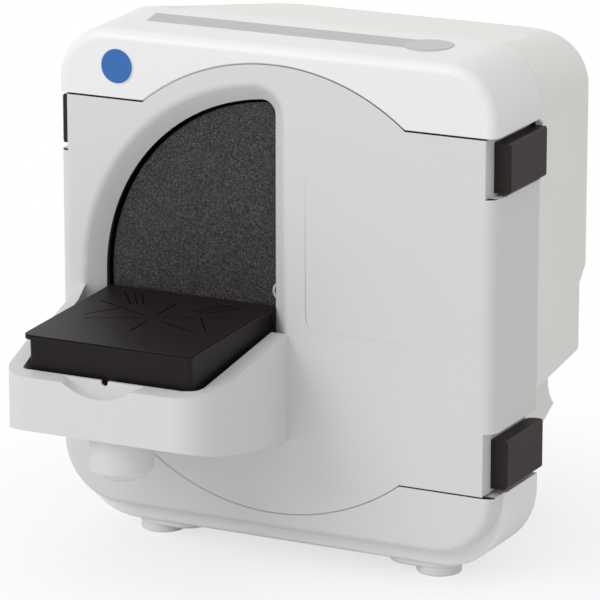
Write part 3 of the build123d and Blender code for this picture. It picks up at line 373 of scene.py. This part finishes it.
def plastic(name, color, roughness=0.45, depth=0.00003, **values):
    """Moulded plastic with its fine grain."""
    return finish(name, moulded_grain, depth, Color=color, Roughness=roughness, **values)


def metal(name, color, roughness=0.3):
    """Bare machined metal."""
    return finish(name, machined_metal, 0.00001, metallic=1.0, Color=color, Roughness=roughness)


def reach_from_middle(tree, name):
    """Distance from the line that runs from front to back through the middle of a CAD node."""
    low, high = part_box(name)
    place = tree.nodes.new("ShaderNodeTexCoord")
    centre = tree.nodes.new("ShaderNodeMapping")
    centre.inputs["Location"].default_value = (-(low[0] + high[0]) / 2, 0, -(low[2] + high[2]) / 2)
    centre.inputs["Scale"].default_value = (1, 0, 1)
    reach = tree.nodes.new("ShaderNodeVectorMath")
    reach.operation = "LENGTH"
    tree.links.new(place.outputs["Object"], centre.inputs["Vector"])
    tree.links.new(centre.outputs["Vector"], reach.inputs[0])
    return reach.outputs["Value"], (high[0] - low[0]) / 2


def blend_base(tree, factor, first, second):
    """Set the base colour to a mix, where None stands for the colour that the pattern gives."""
    base = tree.nodes["Principled BSDF"].inputs["Base Color"]
    pattern = base.links[0].from_socket
    tree.links.new(blend_colors(tree, factor, first or pattern, second or pattern), base)


def sign_print():
    """The blue sign with its thin white rim, printed on film."""
    material = plastic("sign_print", tone(34, 103, 178), roughness=0.32, depth=0.00001)
    tree = material.node_tree
    reach, radius = reach_from_middle(tree, "sign_disc")
    rim = step_up(tree, reach, radius * 0.95, radius * 0.965)
    blend_base(tree, rim, None, tone(225, 230, 238))
    return material


def screw_steel():
    """The disc's centre screw: a bright turned rim round a dark blackened face."""
    material = metal("rimmed_steel", tone(226, 227, 229), roughness=0.35)
    tree = material.node_tree
    reach, radius = reach_from_middle(tree, "disc_screw")
    rim = step_up(tree, reach, radius * 0.74, radius * 0.80)
    blend_base(tree, rim, tone(70, 68, 72), None)
    return material


casing = plastic("casing_plastic", tone(217, 217, 220))
cap_white = plastic("cap_plastic", tone(239, 239, 241), roughness=0.4)
hood_warm = plastic("hood_plastic", tone(237, 237, 234))
black_satin = plastic("black_plastic", tone(38, 29, 28), roughness=0.5, specular=0.25, Grain_Size=0.0004)
table_black = plastic("table_black", tone(27, 21, 22), roughness=0.45, specular=0.2, Grain_Size=0.0003,
                      Unevenness=0.25)
# Painted shade: a dark grey laid on the seam walls for the shadow inside the narrow gaps
seam_painted_shade = plastic("seam_shade", tone(58, 58, 56), roughness=0.8, specular=0.1)
# Painted shade: near-black for the shadow in the table's engraved lines
groove_painted_shade = plastic("groove_painted_shade", tone(10, 8, 8), roughness=0.8, specular=0.1)
strip_grey = plastic("strip_film", tone(182, 183, 183), roughness=0.35, depth=0.00001)
button_grey = plastic("button_plastic", tone(192, 194, 195), roughness=0.4)
rubber_dark = plastic("seal_rubber", tone(60, 60, 60), roughness=0.75, depth=0.00006, Grain_Size=0.0008)
foot_grey = plastic("foot_rubber", tone(236, 236, 235), roughness=0.65, depth=0.00006, Grain_Size=0.0007)
chamber_dark = plastic("chamber_plastic", tone(48, 48, 50), roughness=0.5, Unevenness=0.2)
fitting_grey = plastic("fitting_plastic", tone(150, 152, 154), roughness=0.5)
tube_grey = plastic("tube_plastic", tone(190, 196, 198), roughness=0.3, depth=0.00001)
sheet_paint = plastic("sheet_paint", tone(170, 172, 174), roughness=0.5, depth=0.0001, Grain_Size=0.0012)
motor_paint = plastic("motor_paint", tone(84, 88, 92), roughness=0.45, depth=0.00012, Grain_Size=0.0016)
disc_grit = finish("disc_grit", abrasive_grit, 0.00015, strength=0.5, specular=0.3,
                   Dark=tone(27, 24, 29), Light=tone(98, 94, 100), Grain_Size=0.0006)
steel = metal("machined_steel", tone(198, 199, 202))
aluminium = metal("turned_aluminium", tone(214, 216, 218), roughness=0.35)
brass = metal("turned_brass", tone(196, 172, 116))
core = finish("core_sheets", laminations, 0.0001, metallic=0.6, Color=tone(110, 104, 98), Roughness=0.45)
board = finish("board_lacquer", circuit, 0.00004, coat=0.4, Roughness=0.35)

FINISHES = {
    casing: ["front_door", "splash_tray", "height_knob", "lower_front_panel"],
    cap_white: ["top_cap", "base_frame"],
    hood_warm: ["rear_hood", "rear_base"],
    black_satin: ["hinge_plates", "lower_latch", "upper_latch", "switch_block", "cooling_fan",
                  "solenoid_valve", "mains_inlet"],
    table_black: ["trimming_table"],
    strip_grey: ["label_strip"],
    button_grey: ["power_button"],
    sign_print(): ["sign_disc"],
    screw_steel(): ["disc_screw"],
    disc_grit: ["trimming_disc"],
    chamber_dark: ["spray_chamber"],
    rubber_dark: ["door_seal", "shaft_seal"],
    foot_grey: ["feet"],
    fitting_grey: ["drain_pipe", "drain_elbow", "spray_pipe", "run_capacitor"],
    tube_grey: ["feed_tube"],
    sheet_paint: ["bulkhead"],
    motor_paint: ["motor_body", "motor_flange", "fan_cowl"],
    aluminium: ["disc_carrier"],
    brass: ["water_inlet"],
    core: ["stator", "rotor"],
    board: ["control_board"],
}
finish_of = {name: material for material, names in FINISHES.items() for name in names}

for name, node in nodes.items():
    node.data.materials.clear()
    node.data.materials.append(finish_of.get(name, steel))


# Soft edges

def pick(obj):
    """Make one object the only one selected."""
    bpy.ops.object.select_all(action="DESELECT")
    obj.select_set(True)
    bpy.context.view_layer.objects.active = obj


def soften(name, width, segments=3, seams=(), merge_flat=True):
    """A copy of a moulded part with its sharp edges rounded, which stands for the plain part."""
    piece = bpy.data.objects.new(name + "_moulding", nodes[name].data.copy())
    bpy.context.scene.collection.objects.link(piece)
    pick(piece)
    bpy.ops.object.mode_set(mode="EDIT")
    bpy.ops.mesh.select_all(action="SELECT")
    bpy.ops.mesh.remove_doubles(threshold=MERGE_DISTANCE)
    if merge_flat:
        bpy.ops.mesh.dissolve_limited(angle_limit=radians(FLAT_ANGLE))
    bpy.ops.object.mode_set(mode="OBJECT")
    rounding = piece.modifiers.new("rounding", "BEVEL")
    rounding.width = width
    rounding.segments = segments
    rounding.limit_method = "ANGLE"
    rounding.angle_limit = radians(EDGE_ANGLE)
    rounding.miter_outer = "MITER_ARC"
    rounding.use_clamp_overlap = True
    bpy.ops.object.modifier_apply(modifier=rounding.name)
    bpy.ops.object.shade_smooth_by_angle(angle=radians(SMOOTH_ANGLE))
    shading = piece.modifiers.new("shading", "WEIGHTED_NORMAL")
    shading.keep_sharp = True
    bpy.ops.object.modifier_apply(modifier=shading.name)
    # Painted shade on the seam walls that face up or down
    if seams:
        paint_seam_shade(piece, seams)
    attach(piece, body_of[name])
    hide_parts(name)
    return piece


def paint_seam_shade(piece, facing):
    """Give the walls of the front's seams that face up or down painted shade, to a small depth: a dark grey
    that stands for the shadow deep in the narrow gaps.
    """
    front = min(corner[1] for corner in piece.bound_box)
    pick(piece)
    bpy.ops.object.mode_set(mode="EDIT")
    bpy.ops.mesh.select_all(action="SELECT")
    bpy.ops.mesh.bisect(plane_co=(0, front + SEAM_DEPTH, 0), plane_no=(0, 1, 0))
    bpy.ops.object.mode_set(mode="OBJECT")
    piece.data.materials.append(seam_painted_shade)
    for face in piece.data.polygons:
        height = face.center.z
        up = "up" in facing and face.normal.z > 0.3 and not LOWER_SEAM_TOP < height < UPPER_SEAM_LOW
        low_enough = height < LOWER_SEAM_TOP or "up" not in facing
        down = "down" in facing and face.normal.z < -0.3 and low_enough
        behind_front = front + SEAM_LIP < face.center.y < front + SEAM_DEPTH
        if (up or down) and abs(face.normal.y) < 0.3 and behind_front:
            face.material_index = 1


def paint_groove_shade(piece):
    """Give the engraved lines in the table's top painted shade: a near-black that stands for the shadow in the
    shallow grooves.
    """
    mesh = piece.data
    mesh.materials.append(groove_painted_shade)
    level = [face for face in mesh.polygons if face.normal.z > 0.9]
    top = max(level, key=lambda face: face.area)
    for face in mesh.polygons:
        depths = [(top.center - mesh.vertices[index].co).dot(top.normal) for index in face.vertices]
        if max(depths) < GROOVE_REACH and sum(depths) / len(depths) > GROOVE_SHOULDER:
            face.material_index = 1


# How wide each moulding's edges are rounded
SOFT_EDGES = {"front_door": 0.0008, "splash_tray": 0.0012, "top_cap": 0.0006, "rear_hood": 0.0008,
              "lower_front_panel": 0.0006, "base_frame": 0.0007, "rear_base": 0.0008, "hinge_plates": 0.0004,
              "lower_latch": 0.0004, "upper_latch": 0.0004, "height_knob": 0.0004}
# Which seam walls of each moulding get the painted seam shade
SEAM_WALLS = {"front_door": ("up", "down"), "top_cap": ("down",), "lower_front_panel": ("up",)}
KEEP_TRIANGLES = {"rear_hood"}  # merging its flat faces would swallow the bars between the vent slots
for name, width in SOFT_EDGES.items():
    soften(name, width, seams=SEAM_WALLS.get(name, ()), merge_flat=name not in KEEP_TRIANGLES)

# The table's engraved lines get painted shade
paint_groove_shade(soften("trimming_table", 0.0003, segments=2))

place_camera()
white_room(ROOM_LIGHT)
softbox("key_lamp", (-1.3, -2.4, 1.7), size=1.5, watts=28)
softbox("top_lamp", (-0.1, -0.5, 2.3), size=1.6, watts=7)
pale_floor()
bpy.context.scene.view_settings.view_transform = "Standard"
